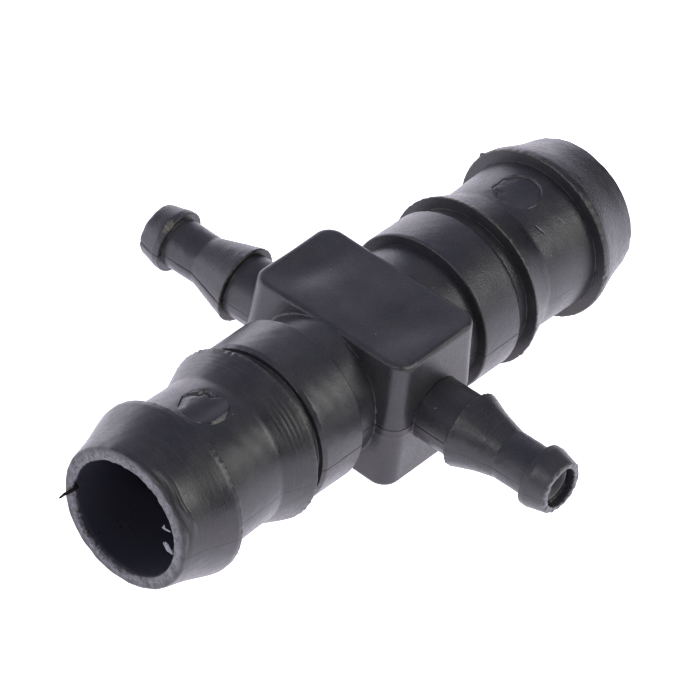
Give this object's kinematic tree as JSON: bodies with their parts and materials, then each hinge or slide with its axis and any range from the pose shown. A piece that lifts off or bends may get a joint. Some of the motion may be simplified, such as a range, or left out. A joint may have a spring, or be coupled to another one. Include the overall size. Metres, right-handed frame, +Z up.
{
  "type": "barbed reducing cross connector",
  "caption": "Barbed hose connector for drip irrigation: a straight pipe run with stop collars crossed by narrow micro-tube branches at a square centre block.",
  "frame": {"origin": "where the axis of the pipe run crosses the axis of the branches, which is the centre of the box", "axes": "+X along the pipe run towards its rear end, +Y along the branches towards the left one, +Z up, square to the mould's parting plane, on the side that carries the pin marks"},
  "size_m": [0.0604, 0.046, 0.0164],
  "materials": {
    "black_plastic": "black polypropylene as moulded, satin"
  },
  "bodies": {
    "root": {"centre_body": "black_plastic", "front_stop_collar": "black_plastic", "front_inner_barb": "black_plastic", "front_end_barb": "black_plastic", "rear_stop_collar": "black_plastic", "rear_inner_barb": "black_plastic", "rear_end_barb": "black_plastic", "left_branch_inner_barb": "black_plastic", "left_branch_end_barb": "black_plastic", "right_branch_inner_barb": "black_plastic", "right_branch_end_barb": "black_plastic"}
  },
  "joints": []
}
